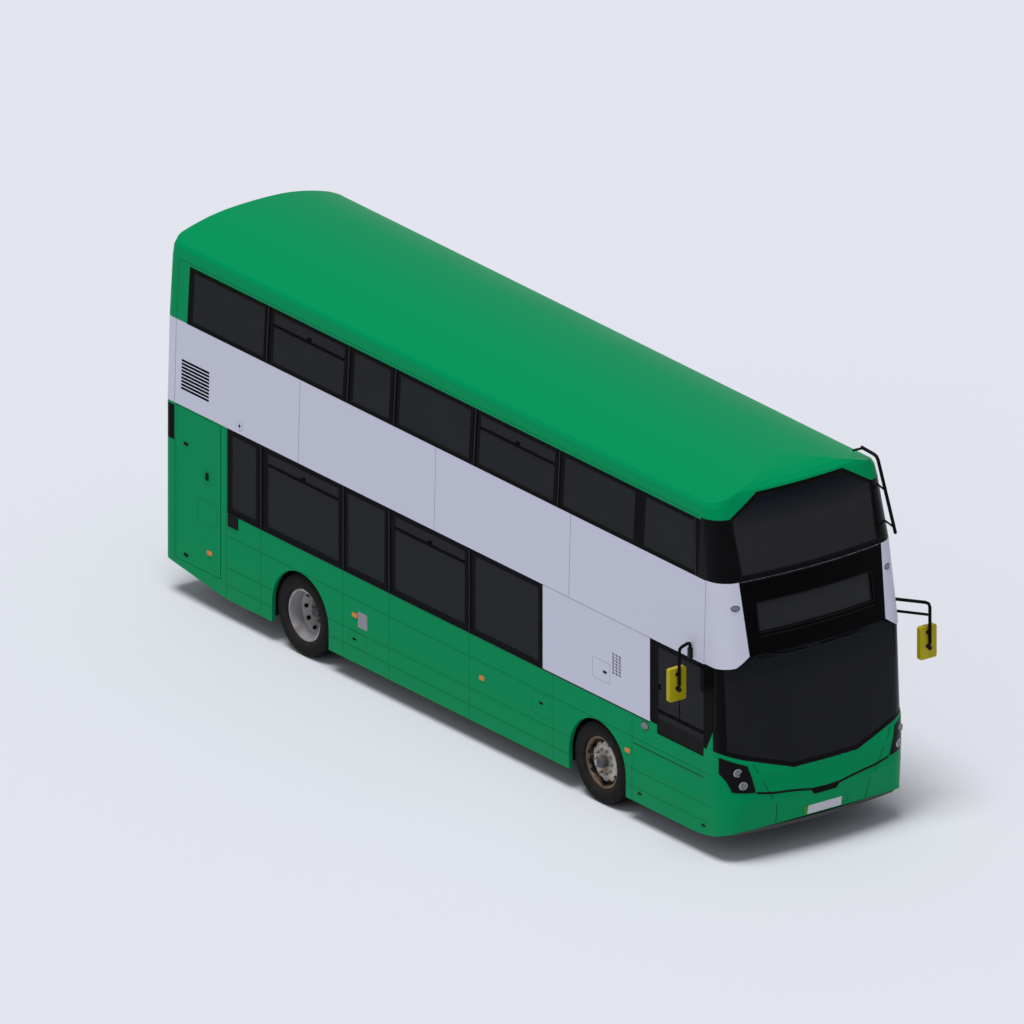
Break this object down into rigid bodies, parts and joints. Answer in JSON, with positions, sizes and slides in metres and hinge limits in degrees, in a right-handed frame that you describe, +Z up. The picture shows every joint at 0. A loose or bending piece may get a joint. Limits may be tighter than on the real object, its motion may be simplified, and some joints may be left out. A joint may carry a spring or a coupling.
{
  "type": "double-decker bus",
  "caption": "Low-floor double-decker city bus with a two-leaf entrance door, a staircase to the upper deck, twin rear wheels and steered front wheels.",
  "frame": {"origin": "on the ground, on the centreline, at mid overall length", "axes": "-Y is the front, +X the nearside with the entrance door, -X the offside with the driver, +Z up"},
  "size_m": [3.21, 10.58, 4.37],
  "materials": {
    "green_paint": "gloss",
    "white_paint": "gloss",
    "black_trim": "gloss",
    "glass": "tinted, polished",
    "display": "polished",
    "chassis": "satin",
    "floor": "matt",
    "arch_plastic": "matt",
    "engine_iron": "rough",
    "lining": "matt",
    "dash_plastic": "matt",
    "seat_fabric": "woven",
    "seat_metal": "satin",
    "rail_paint": "gloss",
    "black_metal": "satin",
    "mirror_yellow": "gloss",
    "lamp_black": "gloss",
    "lamp_red": "gloss",
    "tyre": "matt",
    "rim": "satin"
  },
  "bodies": {
    "body": {"chassis_frame": "chassis", "lower_floor": "floor", "upper_floor": "floor", "staircase": "floor", "roof": "green_paint", "offside_lower_side": "green_paint", "nearside_lower_side": "green_paint", "offside_upper_side": "white_paint", "nearside_upper_side": "white_paint", "front_lower_panel": "green_paint", "destination_panel": "white_paint", "upper_front_frame": "black_trim", "rear_panel": "green_paint", "lower_windscreen": "glass", "upper_windscreen": "glass", "rear_window": "glass", "offside_windows": "glass", "nearside_windows": "glass", "destination_display": "display", "wheel_arches": "arch_plastic", "engine": "engine_iron", "front_axle": "chassis", "rear_axle": "chassis", "rear_bulkhead": "lining", "cab_partition": "lining", "dashboard": "dash_plastic", "steering_wheel": "dash_plastic", "seats": "seat_fabric", "seat_frames": "seat_metal", "handrails": "rail_paint", "door_header": "lining", "mirror_arms": "black_metal", "mirror_heads": "mirror_yellow", "tree_guard": "black_metal", "wipers": "black_metal", "headlamps": "lamp_black", "rear_lamps": "lamp_red"},
    "nearside_steering": {"nearside_knuckle": "chassis"},
    "offside_steering": {"offside_knuckle": "chassis"},
    "tie_rod": {"tie_rod": "chassis"},
    "nearside_front_wheel": {"nearside_front_tyre": "tyre", "nearside_front_rim": "rim"},
    "offside_front_wheel": {"offside_front_tyre": "tyre", "offside_front_rim": "rim"},
    "nearside_rear_wheels": {"nearside_rear_tyres": "tyre", "nearside_rear_rims": "rim"},
    "offside_rear_wheels": {"offside_rear_tyres": "tyre", "offside_rear_rims": "rim"},
    "front_door_shaft": {"front_door_shaft": "black_metal"},
    "rear_door_shaft": {"rear_door_shaft": "black_metal"},
    "front_door_leaf": {"front_door_leaf": "black_trim", "front_door_glass": "glass"},
    "rear_door_leaf": {"rear_door_leaf": "black_trim", "rear_door_glass": "glass"},
    "engine_door": {"engine_door": "green_paint"},
    "side_engine_door": {"side_engine_door": "green_paint"},
    "cab_door": {"cab_door": "lining"}
  },
  "joints": [
    {"name": "nearside_steer", "type": "hinge", "parent": "body", "child": "nearside_steering", "pos_m": [0.905, -2.73, 0.4785], "axis": [0, 0, 1], "range_deg": [-38, 38]},
    {"name": "offside_steer", "type": "hinge", "parent": "body", "child": "offside_steering", "pos_m": [-0.905, -2.73, 0.4785], "axis": [0, 0, 1], "range_deg": [-38, 38]},
    {"name": "tie_rod_joint", "type": "hinge", "parent": "nearside_steering", "child": "tie_rod", "pos_m": [0.905, -2.56, 0.19], "axis": [0, 0, 1], "range_deg": [-38, 38]},
    {"name": "nearside_front_spin", "type": "hinge", "parent": "nearside_steering", "child": "nearside_front_wheel", "pos_m": [1.1, -2.73, 0.4785], "axis": [1, 0, 0], "continuous": true},
    {"name": "offside_front_spin", "type": "hinge", "parent": "offside_steering", "child": "offside_front_wheel", "pos_m": [-1.1, -2.73, 0.4785], "axis": [1, 0, 0], "continuous": true},
    {"name": "nearside_rear_spin", "type": "hinge", "parent": "body", "child": "nearside_rear_wheels", "pos_m": [0.945, 2.76, 0.4785], "axis": [1, 0, 0], "continuous": true},
    {"name": "offside_rear_spin", "type": "hinge", "parent": "body", "child": "offside_rear_wheels", "pos_m": [-0.945, 2.76, 0.4785], "axis": [1, 0, 0], "continuous": true},
    {"name": "front_door_swing", "type": "hinge", "parent": "body", "child": "front_door_shaft", "pos_m": [1.164, -4.652, 1.3], "axis": [0, 0, 1], "range_deg": [-85, 0]},
    {"name": "rear_door_swing", "type": "hinge", "parent": "body", "child": "rear_door_shaft", "pos_m": [1.164, -3.568, 1.3], "axis": [0, 0, 1], "range_deg": [0, 85]},
    {"name": "front_leaf_turn", "type": "hinge", "parent": "front_door_shaft", "child": "front_door_leaf", "pos_m": [1.164, -4.401, 1.3], "axis": [0, 0, 1], "range_deg": [0, 170]},
    {"name": "rear_leaf_turn", "type": "hinge", "parent": "rear_door_shaft", "child": "rear_door_leaf", "pos_m": [1.164, -3.819, 1.3], "axis": [0, 0, 1], "range_deg": [-170, 0]},
    {"name": "engine_door_lift", "type": "hinge", "parent": "body", "child": "engine_door", "pos_m": [0, 5.272, 1.742], "axis": [1, 0, 0], "range_deg": [0, 85]},
    {"name": "side_engine_door_swing", "type": "hinge", "parent": "body", "child": "side_engine_door", "pos_m": [-1.242, 4.257, 1.3], "axis": [0, 0, 1], "range_deg": [0, 100]},
    {"name": "cab_door_swing", "type": "hinge", "parent": "body", "child": "cab_door", "pos_m": [-0.265, -3.63, 0.9], "axis": [0, 0, 1], "range_deg": [0, 90]}
  ],
  "couplings": [
    {"joint": "offside_steer", "follows": "nearside_steer", "ratio": 1},
    {"joint": "tie_rod_joint", "follows": "nearside_steer", "ratio": -1},
    {"joint": "rear_door_swing", "follows": "front_door_swing", "ratio": -1},
    {"joint": "front_leaf_turn", "follows": "front_door_swing", "ratio": -2},
    {"joint": "rear_leaf_turn", "follows": "front_door_swing", "ratio": 2}
  ]
}
